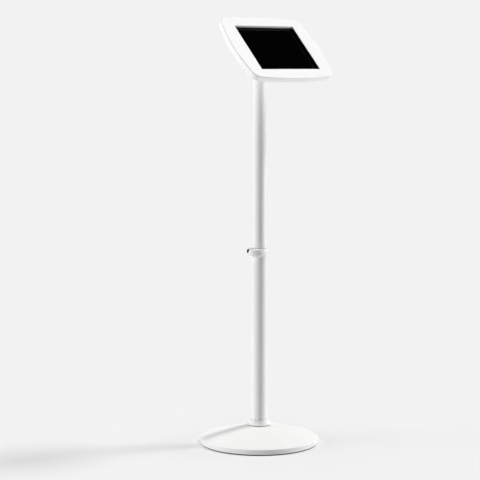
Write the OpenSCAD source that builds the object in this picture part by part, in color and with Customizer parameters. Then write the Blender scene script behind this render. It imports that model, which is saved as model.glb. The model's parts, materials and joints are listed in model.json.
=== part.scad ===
// Floor stand for a tablet: a weighted round base, a two-part column that slides and turns in a
// screw clamp, and a leaning case that holds the tablet behind a frame with a window.
// Millimetres, +Z up, origin on the floor under the column, the screen faces -Y.

/* [Base] */
// Diameter of the base cover at its widest
base_d = 305; // [280:1:360]
// Thickness of the rubber floor pad
pad_t = 3; // [2:0.5:5]
// How far the floor pad stays inside the base cover's widest line
pad_inset = 4; // [3:0.5:5]
// Thickness of the steel weight plate
weight_t = 10; // [8:0.5:14]
// Room between the weight plate and the base cover's widest line
weight_inset = 7.5; // [5:0.5:15]
// Sheet thickness of the base cover
cover_t = 1.5; // [1:0.1:2]
// Height of the base cover's upright rim above the floor pad
rim_h = 11; // [9:0.5:14]
// Radius of the rounding from the rim to the top
rim_round = 3; // [2:0.5:6]
// Radius of the edge rolled in under the rim
roll_round = 2; // [1.8:0.1:3]
// Height of the base cover's flat seat above the floor pad
cover_h = 44; // [40:1:60]
// Swell of the base cover above a straight cone
cover_crown = 2; // [0:0.5:4]

/* [Column foot] */
// Diameter of the foot flange
flange_d = 110; // [104:1:130]
// Thickness of the foot flange
flange_t = 8; // [6:0.5:10]
// Height of the spigot that centres the lower tube
spigot_h = 30; // [20:1:40]
// Diameter of the circle that the foot bolts stand on
bolt_circle_d = 80; // [72:1:84]
// Thread diameter of the foot bolts
bolt_d = 8; // [6:1:10]
// Head height of the foot bolts
bolt_head_h = 5; // [4:0.5:6]
// Bore for the cable through the base
cable_d = 22; // [16:1:26]

/* [Trim ring] */
// Diameter of the trim ring at its foot
trim_foot_d = 58; // [54:1:70]
// Diameter of the trim ring at its top
trim_top_d = 47.5; // [46.5:0.5:52]
// Height of the trim ring
trim_h = 15; // [12:0.5:24]
// Height of the shadow gap under the trim ring's outer edge
trim_gap = 0.8; // [0.4:0.1:1]
// Width of the open groove between the trim ring's lip and the tube
trim_groove = 2.4; // [1.5:0.1:2.6]
// Thread diameter of the grub screws in the trim ring and the clamp collar
grub_d = 5; // [4:1:6]

/* [Column] */
// Outside diameter of the lower tube
lower_d = 40; // [38:0.5:42]
// Wall of the lower tube
lower_wall = 2; // [1.6:0.1:2.4]
// Length of the lower tube
lower_len = 480; // [440:5:600]
// Wall of the guide bush between the two tubes
bush_wall = 0.9; // [0.8:0.1:1.2]
// Length of the guide bush below the top of the lower tube
bush_len = 50; // [30:1:80]
// Wall of the upper tube
upper_wall = 1.5; // [1.4:0.1:1.8]
// Straight length of the upper tube
upper_len = 629; // [580:1:720]
// Length of the upper tube that stands inside the lower tube
insert_len = 201; // [150:1:300]
// Height of the glide bush's shoulder under the upper tube
glide_h = 12; // [8:1:20]
// Length of the glide bush's stem inside the upper tube
stem_len = 35; // [25:1:50]

/* [Height clamp] */
// Depth of the clamp collar's socket over the lower tube
socket_depth = 11; // [10:0.5:16]
// Height of the clamp collar above the top of the lower tube
collar_rise = 6.5; // [6:0.5:10]
// Diameter of the clamp collar near its foot
collar_foot_d = 48; // [47:0.5:54]
// Easing of the clamp collar's lower edge
collar_ease = 2; // [1:0.5:2.5]
// Wall of the clamp collar at its top, outside the bush
collar_top_wall = 1.6; // [1.4:0.1:2.2]
// Diameter of the clamp screw's boss
boss_d = 15; // [14:0.5:18]
// Distance of the boss's axis below the top of the clamp collar
boss_drop = 6; // [5.5:0.5:8]
// Distance of the boss's end from the column axis
boss_reach = 33; // [31:0.5:38]
// Direction of the boss round the column, from +X towards +Y
boss_turn = 162; // [0:1:359]
// Thread diameter of the clamp screw
screw_d = 6; // [5:1:6]
// Head diameter of the clamp screw
screw_head_d = 10; // [8.5:0.5:10]
// Head height of the clamp screw
screw_head_h = 6; // [5:0.5:6]
// Depth of the clamp screw's head below the end of the boss
head_sunk = 0.3; // [0:0.1:1]
// Diameter of the clamp pad
clamp_pad_d = 8; // [7:0.5:9]
// Travel of the clamp pad when the screw is slackened by one turn
clamp_travel = 1; // [0.8:0.1:1.2]

/* [Neck] */
// Angle that the neck leans forward from upright
neck_angle = 46.4; // [30:0.2:60]
// Bend radius of the neck at the tube's centre line
neck_radius = 60; // [52:1:90]
// Length of the neck plate's stub, which carries on straight from the bend
stub_len = 31.2; // [20:0.2:50]
// Diameter of the neck plate
neck_plate_d = 88; // [80:1:100]
// Thickness of the neck plate
neck_plate_t = 5; // [4:0.5:8]
// Height of the neck plate's hub round the tube
hub_h = 4; // [3:0.5:5]
// Diameter of the circle that the neck screws stand on
neck_circle_d = 66; // [60:1:72]
// Thread diameter of the neck screws
neck_screw_d = 5; // [4:1:6]

/* [Case] */
// Width of the window
window_w = 198; // [180:1:260]
// Height of the window
window_h = 148.5; // [140:0.5:200]
// Width of the frame beside the window
frame_side = 45.5; // [44:0.5:60]
// Width of the frame above and below the window
frame_top = 31; // [30:0.25:50]
// Radius of the bowed sides
side_bow_r = 335; // [250:5:600]
// Radius of the bowed top and bottom
top_bow_r = 1100; // [800:10:2000]
// Radius of the case's corners
case_corner = 19.5; // [14:0.5:24]
// Thickness of the faceplate
face_t = 2; // [1.5:0.5:5]
// Rounding of the faceplate's front edge
face_round = 0.8; // [0.5:0.1:1.2]
// Gap of the seam between faceplate and rear shell
seam = 0.8; // [0.5:0.1:1.2]
// Depth of the rear shell's straight wall
wall_depth = 10; // [8:0.5:14]
// Depth of the rear shell behind the seam
shell_depth = 28; // [27:0.5:36]
// Width of the rear shell's rounded shoulder, from the wall to the flat back
shoulder = 46; // [40:1:50]
// Wall of the rear shell
shell_t = 3; // [2.5:0.1:3.5]
// Thickness of the foam gasket behind the window
gasket_t = 6; // [4:0.5:7]
// Width of the foam gasket
gasket_w = 7; // [5:0.5:8]
// How far the gasket's side strips stand back from the window
gasket_back = 8; // [0:0.5:10]
// Height of the case screws above and below the middle
case_screw_v = 45; // [30:1:55]
// Thread diameter of the case screws
case_screw_d = 4; // [3:1:5]
// Thickness of the backing plate inside the case
backing_t = 2.5; // [2:0.5:4]
// Bore of the cable grommet
grommet_bore = 18; // [14:1:20]

/* [Tablet] */
// Width of the tablet's border beside the window
tablet_side = 21; // [12:0.5:24]
// Width of the tablet's border above and below the window
tablet_top = 10.5; // [9:0.5:14]
// Thickness of the tablet
tablet_t = 7.5; // [6:0.5:9]
// Thickness of the tablet's glass
glass_t = 1; // [0.8:0.1:1.5]
// Corner radius of the tablet
tablet_corner = 8; // [6:0.5:12]

/* [Hidden] */
$fn = 96;

// Radial clearance of a piece that runs in a bore
run = 0.05;
// Radial clearance of a piece that is only located
loose = 0.1;
// Clearance round a screw that passes through a hole
pass = 0.3;
// Gap between the clamp pad and the upper tube when the clamp is just free
free_gap = 0.3;
// Overshoot of a cut past the face that it starts from
cut = 1;

// Heights of the base, from the floor up
weight_z = pad_t;
flange_z = weight_z + weight_t;
foot_z = flange_z + flange_t;
seat_z = pad_t + cover_h;
lower_top = foot_z + lower_len;
collar_z = lower_top - socket_depth;
collar_h = socket_depth + collar_rise;
boss_z = collar_z + collar_h - boss_drop;
upper_foot = lower_top - insert_len;
neck_z = upper_foot + upper_len;

// Radii of the column, each from the tube outside it
lower_r = lower_d / 2;
lower_bore_r = lower_r - lower_wall;
upper_r = lower_bore_r - bush_wall - 2 * run;
upper_bore_r = upper_r - upper_wall;

// Base cover
base_r = base_d / 2;
rim_centre = [base_r - rim_round, pad_t + rim_h];
roll_centre = [base_r - roll_round, pad_t + roll_round];
roll_end = base_r - pad_inset - 2;
seat_r = trim_foot_d / 2 + 1;

// Screws in the foot
bolt_head_d = 1.6 * bolt_d;
bolt_sink = bolt_head_h + 0.5;

// Clamp screw, measured outward from the column axis
collar_top_r = lower_r + loose + collar_top_wall - 1;
pad_in = upper_r + free_gap;
pad_out = lower_r + 1;
thread_in = pad_out + clamp_travel + 0.1;
head_in = boss_reach - screw_head_h - head_sunk;
pocket_in = head_in - 0.2;
grub_turns = [boss_turn + 145, boss_turn + 215];
collar_grub_z = collar_z + 6;

// Case, measured from the middle of the faceplate's front: x across, y up the face, z out of it
face_half = [window_w / 2 + frame_side, window_h / 2 + frame_top];
tablet_size = [window_w + 2 * tablet_side, window_h + 2 * tablet_top];
shell_front = -(face_t + seam);
glass_front = -(face_t + gasket_t);
tablet_back = glass_front - tablet_t;
shell_back = shell_front - shell_depth;
shell_floor = shell_back + shell_t;
lip_clear = 0.3;
lip_t = 2;
lip_h = 4;
post_r = case_screw_d / 2 + 3;
post_meet = glass_front - 2.5;
case_screw_at = [tablet_size.x / 2 + post_r + 3, case_screw_v];
shell_draft = 0.6;
window_corner = 1;
case_head_r = case_screw_d * 0.9;
case_head_h = case_screw_d * 0.7;
case_head_z = shell_front - wall_depth - 2;
insert_h = 6;
insert_r = case_screw_d / 2 + 0.9;
neck_head_h = 0.65 * neck_screw_d;
backing_d = neck_plate_d + 4;
neck_reach = neck_plate_t - shell_back;
bend_end = [0, -neck_radius * (1 - cos(neck_angle)), neck_z + neck_radius * sin(neck_angle)];
face_centre = bend_end + (stub_len + neck_reach) * [0, -sin(neck_angle), cos(neck_angle)];

// Point on a circle at an angle
function on_circle(centre, r, angle) = centre + r * [cos(angle), sin(angle)];

// Points along an arc, both ends included
function arc(centre, r, from, to, steps) =
    [for (i = [0:steps]) on_circle(centre, r, from + (to - from) * i / steps)];

// Points of an arc without its two ends
function inner_arc(centre, r, from, to, steps) =
    [for (i = [1:steps - 1]) on_circle(centre, r, from + (to - from) * i / steps)];

// Where two circles cross, on the left of the line from p to q
function circles_cross(p, rp, q, rq) =
    let (d = norm(q - p), m = (rp * rp - rq * rq + d * d) / (2 * d), e = (q - p) / d)
    p + m * e + sqrt(rp * rp - m * m) * [-e.y, e.x];

// Outline of the case set in by a distance: four bowed sides and corner arcs tangent to them
function case_outline(inset) =
    let (
        half = [face_half.x - inset, face_half.y - inset],
        corner = case_corner + inset / 4,
        side = [half.x - side_bow_r, 0],
        top = [0, half.y - top_bow_r],
        at = circles_cross(side, side_bow_r - corner, top, top_bow_r - corner),
        t1 = atan2(at.y - side.y, at.x - side.x),
        t2 = atan2(at.y - top.y, at.x - top.x),
        turn = concat(
            arc(side, side_bow_r, -t1, t1, 10),
            inner_arc(at, corner, t1, t2, 7),
            arc(top, top_bow_r, t2, 180 - t2, 10),
            inner_arc([-at.x, at.y], corner, 180 - t2, 180 - t1, 7)
        )
    )
    concat(turn, -turn);

// Points along a straight line, both ends included
function line(from, to, steps) = [for (i = [0:steps]) from + (to - from) * i / steps];

// Outline of the window, with as many points as the case's outline
function window_outline() =
    let (
        half = [window_w / 2, window_h / 2],
        w = half.x - window_corner,
        h = half.y - window_corner,
        turn = concat(
            line([half.x, -h], [half.x, h], 10),
            inner_arc([w, h], window_corner, 0, 90, 7),
            line([w, half.y], [-w, half.y], 10),
            inner_arc([-w, h], window_corner, 90, 180, 7)
        )
    )
    concat(turn, -turn);

// Outline of a plain rectangle with round corners
function round_outline(size, corner) =
    let (w = size.x / 2 - corner, h = size.y / 2 - corner)
    concat(
        arc([w, h], corner, 0, 90, 7), arc([-w, h], corner, 90, 180, 7),
        arc([-w, -h], corner, 180, 270, 7), arc([w, -h], corner, 270, 360, 7)
    );

// Sets an outline at a height
function raised(outline, z) = [for (p = outline) [p.x, p.y, z]];

// Closed skin over rings of equal count, from the lowest outside ring on.
// A frame joins its last ring to its first; any other skin closes both ends with a flat face.
module loft(rings, frame = false) {
    n = len(rings[0]);
    count = len(rings);
    sides = [
        for (j = [0:count - (frame ? 1 : 2)], i = [0:n - 1], half = [0, 1])
            let (k = (i + 1) % n, a = j * n, b = ((j + 1) % count) * n)
            half == 0 ? [a + i, b + i, b + k] : [a + i, b + k, a + k]
    ];
    floor = [for (i = [0:n - 1]) i];
    roof = [for (i = [n - 1:-1:0]) (count - 1) * n + i];
    faces = frame ? sides : concat(sides, [floor, roof]);
    polyhedron(points = [for (ring = rings, p = ring) p], faces = faces);
}

// Places children on the leaning face of the case
module on_face() {
    translate(face_centre)
        rotate([neck_angle, 0, 0])
            children();
}

// Repeats children on a circle round the Z axis
module round_copies(circle_d, count, first = 0) {
    for (i = [0:count - 1])
        rotate([0, 0, first + i * 360 / count])
            translate([circle_d / 2, 0, 0])
                children();
}

// Turns children so that their Z axis points outward from the column at a height
module outward(turn, z) {
    translate([0, 0, z])
        rotate([0, 0, turn])
            rotate([0, 90, 0])
                children();
}

// Hexagon pocket for a key, cut down from z = 0
module key_pocket(width, depth) {
    translate([0, 0, -depth])
        cylinder(d = width / cos(30), h = depth + cut, $fn = 6);
}

// Set screw along Z with its key pocket at the top
module grub(length) {
    difference() {
        cylinder(d = grub_d - 2 * run, h = length);
        translate([0, 0, length])
            key_pocket(grub_d / 2, length / 2);
    }
}

// Rod along the upper column's centre line: straight up, then bent forward
module neck_path(r, start, past) {
    translate([0, 0, start])
        cylinder(r = r, h = neck_z - start);
    translate([0, -neck_radius, neck_z])
        rotate([90, 0, 90])
            rotate_extrude(angle = neck_angle + past)
                translate([neck_radius, 0])
                    circle(r = r);
}

// Four positions of the case screws
module case_screw_places() {
    for (sx = [-1, 1], sy = [-1, 1])
        translate([sx * case_screw_at.x, sy * case_screw_at.y, 0])
            children();
}

// Rubber pad under the base, with reach holes for the foot bolts and a channel for the cable
module floor_pad() {
    pad_r = base_r - pad_inset;
    color("#1c1c1e")
        difference() {
            cylinder(r = pad_r, h = pad_t, $fn = 180);
            translate([0, 0, -cut])
                cylinder(d = cable_d + 4, h = pad_t + 2 * cut);
            translate([-cable_d / 4, 0, -cut])
                cube([cable_d / 2, pad_r + cut, pad_t + 2 * cut]);
            round_copies(bolt_circle_d, 4, 45)
                translate([0, 0, -cut])
                    cylinder(d = bolt_head_d + 2, h = pad_t + 2 * cut);
        }
}

// Steel disc that weighs the base down
module weight_plate() {
    color("#7d8084")
        difference() {
            translate([0, 0, weight_z])
                cylinder(r = base_r - weight_inset, h = weight_t, $fn = 180);
            translate([0, 0, weight_z - cut])
                cylinder(d = cable_d, h = weight_t + 2 * cut);
            round_copies(bolt_circle_d, 4, 45) {
                translate([0, 0, weight_z - cut])
                    cylinder(d = bolt_d + 2 * pass, h = weight_t + 2 * cut);
                translate([0, 0, weight_z - cut])
                    cylinder(d = bolt_head_d + 2 * pass, h = bolt_sink + cut);
            }
        }
}

// Spun cover: rolled lower edge, upright rim, slightly swollen cone and a flat seat round the column
module base_cover() {
    rim_end = 70;
    edge = on_circle(rim_centre, rim_round, rim_end);
    fall = (seat_z - edge.y) / (edge.x - seat_r);
    drop = cover_t * sqrt(1 + fall * fall);
    hole_r = lower_r + 4 * loose;
    steps = 14;
    cone = [
        for (i = [1:steps])
            let (t = i / steps)
            [edge.x + (seat_r - edge.x) * t, edge.y + (seat_z - edge.y) * t + 4 * cover_crown * t * (1 - t)]
    ];
    outside = concat(
        [[roll_end, pad_t]], arc(roll_centre, roll_round, -90, 0, 6),
        arc(rim_centre, rim_round, 0, rim_end, 8), cone
    );
    inside = concat(
        [for (i = [steps - 2:-1:0]) cone[i] - [0, drop]],
        arc(rim_centre, rim_round - cover_t, rim_end, 0, 8),
        arc(roll_centre, roll_round - cover_t, 0, -90, 6), [[roll_end, pad_t + cover_t]]
    );
    seat = [[hole_r, seat_z], [hole_r, seat_z - cover_t], [seat_r - 1, seat_z - cover_t]];
    color("#f4f4f3")
        rotate_extrude($fn = 180)
            polygon(concat(outside, seat, inside));
}

// Steel flange with a spigot that the lower tube stands over
module foot_flange() {
    spigot_r = lower_bore_r - loose;
    color("#8b8e92")
        difference() {
            union() {
                translate([0, 0, flange_z])
                    cylinder(d = flange_d, h = flange_t);
                translate([0, 0, flange_z])
                    cylinder(r = spigot_r, h = flange_t + spigot_h - 2);
                translate([0, 0, foot_z + spigot_h - 2])
                    cylinder(r1 = spigot_r, r2 = spigot_r - 1.5, h = 2);
            }
            translate([0, 0, flange_z - cut])
                cylinder(d = cable_d, h = flange_t + spigot_h + 2 * cut);
            round_copies(bolt_circle_d, 4, 45)
                translate([0, 0, flange_z - cut])
                    cylinder(d = bolt_d, h = flange_t + 2 * cut);
        }
}

// Low-head bolts that hold the flange on the weight plate from below
module foot_bolts() {
    head_top = weight_z + bolt_sink;
    color("#5c5f63")
        round_copies(bolt_circle_d, 4, 45)
            difference() {
                union() {
                    translate([0, 0, head_top - bolt_head_h])
                        cylinder(d = bolt_head_d, h = bolt_head_h);
                    translate([0, 0, head_top - 1])
                        cylinder(d = bolt_d - 2 * run, h = foot_z - head_top + 1);
                }
                translate([0, 0, head_top - bolt_head_h])
                    rotate([180, 0, 0])
                        key_pocket(0.6 * bolt_d, bolt_head_h / 2);
            }
}

// Ring that closes the cover round the column: a domed flank, an open lip and a shadow gap at its foot
module trim_ring() {
    foot_r = trim_foot_d / 2;
    top_r = trim_top_d / 2;
    gap_r = foot_r - 3;
    foot_edge = 1.6;
    lip_ease = 0.7;
    groove_r = lower_r + trim_groove;
    groove_z = seat_z + trim_h - 4;
    flank_h = trim_h - foot_edge - lip_ease;
    flank = [
        for (i = [0:10])
            let (t = i / 10)
            [top_r + (foot_r - top_r) * (1 - pow(t, 1.4)), seat_z + foot_edge + flank_h * t]
    ];
    color("#f4f4f3")
        difference() {
            rotate_extrude()
                polygon(concat(
                    [[lower_r + loose, seat_z], [gap_r, seat_z], [gap_r, seat_z + trim_gap],
                     [foot_r, seat_z + trim_gap]],
                    flank,
                    [[top_r - lip_ease, seat_z + trim_h], [groove_r, seat_z + trim_h],
                     [groove_r, groove_z], [lower_r + loose, groove_z]]
                ));
            for (turn = [60, 120])
                outward(turn, seat_z + trim_h / 2 - 2)
                    cylinder(d = grub_d, h = foot_r + cut);
        }
}

// Grub screws that hold the trim ring on the tube
module trim_grubs() {
    color("#2a2b2d")
        for (turn = [60, 120])
            outward(turn, seat_z + trim_h / 2 - 2)
                translate([0, 0, lower_r + run])
                    grub(4.5);
}

// Outer tube of the column, with the side hole for the clamp pad
module lower_tube() {
    color("#f6f6f5")
        difference() {
            translate([0, 0, foot_z])
                cylinder(r = lower_r, h = lower_len);
            translate([0, 0, foot_z - cut])
                cylinder(r = lower_bore_r, h = lower_len + 2 * cut);
            outward(boss_turn, boss_z)
                cylinder(d = clamp_pad_d + 2 * pass, h = lower_r + cut);
        }
}

// Nylon bush that the upper tube slides and turns in
module guide_bush() {
    collar_r = lower_r - 0.1;
    nose_r = upper_r + run + 1.5;
    ledge = lower_top + 2.4;
    color("#6b6d70")
        difference() {
            rotate_extrude()
                polygon([
                    [upper_r + run, lower_top - bush_len], [lower_bore_r - run, lower_top - bush_len],
                    [lower_bore_r - run, lower_top], [collar_r, lower_top], [collar_r, ledge],
                    [nose_r, ledge], [nose_r, lower_top + collar_rise + 1],
                    [upper_r + run, lower_top + collar_rise + 1]
                ]);
            outward(boss_turn, boss_z)
                cylinder(d = clamp_pad_d + 2 * pass, h = lower_r + cut);
        }
}

// Bell-shaped collar on the lower tube, with the boss of the clamp screw
module clamp_collar() {
    foot_r = collar_foot_d / 2;
    flank_h = collar_h - collar_ease;
    ledge = lower_top + 2.5;
    bell = [
        for (i = [0:12])
            let (t = i / 12)
            [collar_top_r + (foot_r - collar_top_r) * sqrt(1 - t * t), collar_z + collar_ease + flank_h * t]
    ];
    color("#f4f4f3")
        difference() {
            union() {
                rotate_extrude()
                    polygon(concat(
                        [[lower_r + loose, collar_z], [foot_r - collar_ease, collar_z]], bell,
                        [[upper_r + run + 1.6, collar_z + collar_h], [upper_r + run + 1.6, ledge],
                         [lower_r + loose, ledge]]
                    ));
                outward(boss_turn, boss_z) {
                    cylinder(d = boss_d, h = boss_reach - 1);
                    translate([0, 0, boss_reach - 1])
                        cylinder(d1 = boss_d, d2 = boss_d - 2, h = 1);
                }
            }
            translate([0, 0, collar_z - cut])
                cylinder(r = lower_r + loose, h = ledge - collar_z + cut);
            translate([0, 0, collar_z])
                cylinder(r = upper_r + run + 1.6, h = collar_h + boss_d);
            outward(boss_turn, boss_z) {
                cylinder(d = clamp_pad_d + 2 * run, h = thread_in);
                cylinder(d = screw_d + 2 * run, h = boss_reach);
                translate([0, 0, pocket_in])
                    cylinder(d = screw_head_d + 1, h = boss_reach);
            }
            for (turn = grub_turns)
                outward(turn, collar_grub_z)
                    cylinder(d = grub_d, h = foot_r + cut);
        }
}

// Grub screws that hold the clamp collar on the lower tube
module collar_grubs() {
    color("#2a2b2d")
        for (turn = grub_turns)
            outward(turn, collar_grub_z)
                translate([0, 0, lower_r + run])
                    grub(3.5);
}

// Brass pad that presses on the upper tube
module clamp_pad() {
    color("#b08d4a")
        difference() {
            outward(boss_turn, boss_z)
                translate([0, 0, pad_in - 2])
                    cylinder(d = clamp_pad_d, h = pad_out - pad_in + 2);
            translate([0, 0, boss_z - clamp_pad_d])
                cylinder(r = pad_in, h = 2 * clamp_pad_d);
        }
}

// Socket-head screw of the height clamp
module clamp_screw() {
    color("#1f2022")
        outward(boss_turn, boss_z)
            difference() {
                union() {
                    translate([0, 0, pad_out])
                        cylinder(d = screw_d, h = head_in - pad_out + 1);
                    translate([0, 0, head_in])
                        cylinder(d = screw_head_d, h = screw_head_h - 0.6);
                    translate([0, 0, head_in + screw_head_h - 0.6])
                        cylinder(d1 = screw_head_d, d2 = screw_head_d - 1.2, h = 0.6);
                }
                translate([0, 0, head_in + screw_head_h])
                    key_pocket(screw_head_d / 2, screw_head_h * 0.55);
            }
}

// Nylon foot of the upper tube, which runs in the lower tube's bore
module glide_bush() {
    stem_r = upper_bore_r - run;
    ring_z = upper_foot + stem_len - 15;
    color("#2b2c2f")
        difference() {
            union() {
                translate([0, 0, upper_foot - glide_h])
                    cylinder(r = lower_bore_r - run, h = glide_h);
                translate([0, 0, upper_foot - 1])
                    cylinder(r = stem_r, h = stem_len + 1);
            }
            translate([0, 0, upper_foot - glide_h - cut])
                cylinder(d = cable_d - 2, h = glide_h + stem_len + 2 * cut);
            translate([0, 0, ring_z])
                difference() {
                    cylinder(r = stem_r + cut, h = 1.6);
                    translate([0, 0, -cut])
                        cylinder(r = stem_r - 1, h = 1.6 + 2 * cut);
                }
        }
}

// Split ring that keeps the glide bush in the upper tube
module glide_ring() {
    ring_z = upper_foot + stem_len - 15 + 0.1;
    color("#9a9da1")
        difference() {
            translate([0, 0, ring_z])
                cylinder(r = upper_bore_r + 0.5 - run, h = 1.4);
            translate([0, 0, ring_z - cut])
                cylinder(r = upper_bore_r - 0.85, h = 1.4 + 2 * cut);
            translate([0, -2, ring_z - cut])
                cube([upper_r, 4, 1.4 + 2 * cut]);
        }
}

// Inner tube of the column, bent forward at its top
module upper_tube() {
    ring_z = upper_foot + stem_len - 15;
    color("#f6f6f5")
        difference() {
            neck_path(upper_r, upper_foot, 0);
            neck_path(upper_bore_r, upper_foot - cut, cut);
            translate([0, 0, ring_z])
                cylinder(r = upper_bore_r + 0.5, h = 1.6);
        }
}

// Plate with a hub and a stub of tube, which is welded to the end of the bend
module neck_plate() {
    plate_z = shell_back - neck_plate_t;
    stub_z = plate_z - stub_len;
    hub_r = upper_r + 5;
    color("#f4f4f3")
        on_face()
            difference() {
                union() {
                    translate([0, 0, plate_z + 1])
                        cylinder(d = neck_plate_d, h = neck_plate_t - 1);
                    translate([0, 0, plate_z])
                        cylinder(d1 = neck_plate_d - 2, d2 = neck_plate_d, h = 1);
                    translate([0, 0, plate_z - hub_h])
                        cylinder(r1 = hub_r - 2.5, r2 = hub_r, h = hub_h + 0.5);
                    translate([0, 0, stub_z])
                        cylinder(r = upper_r, h = stub_len + 0.5);
                }
                translate([0, 0, stub_z - cut])
                    cylinder(r = upper_bore_r, h = stub_len + cut);
                translate([0, 0, plate_z - cut])
                    cylinder(d = cable_d + 2, h = neck_plate_t + 2 * cut);
                round_copies(neck_circle_d, 4, 45)
                    translate([0, 0, plate_z + 1])
                        cylinder(d = neck_screw_d, h = neck_plate_t);
            }
}

// Screws that hold the case on the neck plate from inside
module neck_screws() {
    seat = shell_floor + backing_t;
    length = backing_t + shell_t + neck_plate_t - 1.5;
    color("#6d7075")
        on_face()
            round_copies(neck_circle_d, 4, 45)
                difference() {
                    union() {
                        translate([0, 0, seat - length])
                            cylinder(d = neck_screw_d - 2 * run, h = length + 1);
                        translate([0, 0, seat])
                            cylinder(d = 1.8 * neck_screw_d, h = neck_head_h);
                    }
                    translate([0, 0, seat + neck_head_h])
                        key_pocket(neck_screw_d / 2, neck_head_h * 0.6);
                }
}

// Steel plate that spreads the neck screws' load inside the case
module backing_plate() {
    color("#84878b")
        on_face()
            difference() {
                translate([0, 0, shell_floor])
                    cylinder(d = backing_d, h = backing_t);
                translate([0, 0, shell_floor - cut])
                    cylinder(d = cable_d + 6, h = backing_t + 2 * cut);
                round_copies(neck_circle_d, 4, 45)
                    translate([0, 0, shell_floor - cut])
                        cylinder(d = neck_screw_d + 2 * pass, h = backing_t + 2 * cut);
            }
}

// Rubber grommet where the cable enters the case
module cable_grommet() {
    lip_z = shell_floor + backing_t;
    body_r = cable_d / 2 + 3 - loose;
    color("#232426")
        on_face()
            difference() {
                union() {
                    translate([0, 0, shell_back])
                        cylinder(r = body_r, h = shell_t + backing_t + 1);
                    translate([0, 0, lip_z])
                        cylinder(r = body_r + 3, h = 2);
                }
                translate([0, 0, shell_back - cut])
                    cylinder(d = grommet_bore, h = shell_t + backing_t + 2 + 2 * cut);
            }
}

// Rings of the shell's form set in by a wall, from the flat back over the round shoulder to the rim
function shell_rings(wall, steps) =
    concat(
        [
            for (i = [steps:-1:0])
                let (
                    a = 90 * i / steps,
                    inset = shell_draft + wall + (shoulder - wall) * (1 - cos(a)),
                    sink = wall_depth + (shell_depth - wall_depth - wall) * sin(a)
                )
                raised(case_outline(inset), shell_front - sink)
        ],
        [raised(case_outline(wall), shell_front)]
    );

// Moulded rear half of the case: a tray with posts for the case screws
module rear_shell() {
    inside = shell_rings(shell_t, 5);
    color("#f3f3f2")
        on_face()
            difference() {
                union() {
                    loft(concat(shell_rings(0, 7), [for (i = [len(inside) - 1:-1:0]) inside[i]]));
                    intersection() {
                        loft(shell_rings(0, 7));
                        case_screw_places()
                            translate([0, 0, shell_back])
                                cylinder(r = post_r, h = post_meet - shell_back);
                    }
                }
                case_screw_places() {
                    translate([0, 0, shell_back])
                        cylinder(r = case_head_r + pass, h = case_head_z - shell_back);
                    translate([0, 0, shell_back])
                        cylinder(d = case_screw_d + 2 * pass, h = shell_depth);
                }
                translate([0, 0, shell_back - cut])
                    cylinder(d = cable_d + 6, h = shell_t + 2 * cut);
                round_copies(neck_circle_d, 4, 45)
                    translate([0, 0, shell_back - cut])
                        cylinder(d = neck_screw_d + 2 * pass, h = shell_t + 2 * cut);
            }
}

// Front frame with its window, a lip that locates it in the shell, and bosses for the screws
module faceplate() {
    lip_in = shell_t + lip_clear;
    color("#fbfbfa")
        on_face()
            difference() {
                union() {
                    loft([
                        raised(case_outline(0), -face_t),
                        for (i = [0:4])
                            let (a = 90 * i / 4)
                            raised(case_outline(face_round * (1 - cos(a))), face_round * (sin(a) - 1)),
                        raised(window_outline(), 0),
                        raised(window_outline(), -face_t),
                        raised(case_outline(lip_in + lip_t), -face_t),
                        raised(case_outline(lip_in + lip_t), -face_t - lip_h),
                        raised(case_outline(lip_in), -face_t - lip_h),
                        raised(case_outline(lip_in), -face_t)
                    ], frame = true);
                    case_screw_places()
                        translate([0, 0, post_meet])
                            cylinder(r = post_r, h = 0.5 - face_t - post_meet);
                }
                case_screw_places()
                    translate([0, 0, post_meet - cut])
                        cylinder(r = insert_r, h = insert_h + cut);
            }
}

// Foam frame between the faceplate and the tablet, open past the window at the sides
module window_gasket() {
    open_w = window_w + 2 * gasket_back;
    color("#c9cacb")
        on_face()
            translate([0, 0, glass_front])
                linear_extrude(gasket_t)
                    difference() {
                        square([open_w + 2 * gasket_w, window_h + 2 * gasket_w], center = true);
                        square([open_w, window_h], center = true);
                    }
}

// Brass threads in the faceplate's bosses
module screw_inserts() {
    color("#b5924c")
        on_face()
            case_screw_places()
                translate([0, 0, post_meet])
                    difference() {
                        cylinder(r = insert_r - run, h = insert_h - 0.2);
                        translate([0, 0, -cut])
                            cylinder(d = case_screw_d, h = insert_h + 2 * cut);
                    }
}

// Screws that close the case from behind
module case_screws() {
    length = post_meet + insert_h - 1 - case_head_z;
    color("#3a3b3e")
        on_face()
            case_screw_places()
                difference() {
                    union() {
                        translate([0, 0, case_head_z])
                            cylinder(d = case_screw_d - 2 * run, h = length);
                        translate([0, 0, case_head_z - case_head_h])
                            cylinder(r = case_head_r, h = case_head_h);
                    }
                    translate([0, 0, case_head_z - case_head_h])
                        rotate([180, 0, 0])
                            key_pocket(case_screw_d * 0.6, case_head_h * 0.6);
                }
}

// Foam blocks behind the tablet
module tablet_pads() {
    flat = [face_half.x - shoulder - shell_draft, face_half.y - shoulder - shell_draft];
    block = [26, 14];
    color("#4b4d50")
        on_face()
            for (sx = [-1, 1], sy = [-1, 1])
                translate([sx * (flat.x - block.x), sy * (flat.y - block.y), shell_floor])
                    linear_extrude(tablet_back - shell_floor)
                        square(block, center = true);
}

// Metal body of the tablet with rounded back edges
module tablet_case() {
    edge = 3;
    color("#b9bcc0")
        on_face()
            loft([
                for (i = [0:4])
                    let (a = 90 * i / 4, inset = edge * (1 - sin(a)))
                    raised(
                        round_outline(tablet_size - 2 * [inset, inset], tablet_corner - inset),
                        tablet_back + edge * (1 - cos(a))
                    ),
                raised(round_outline(tablet_size, tablet_corner), glass_front - glass_t)
            ]);
}

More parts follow.
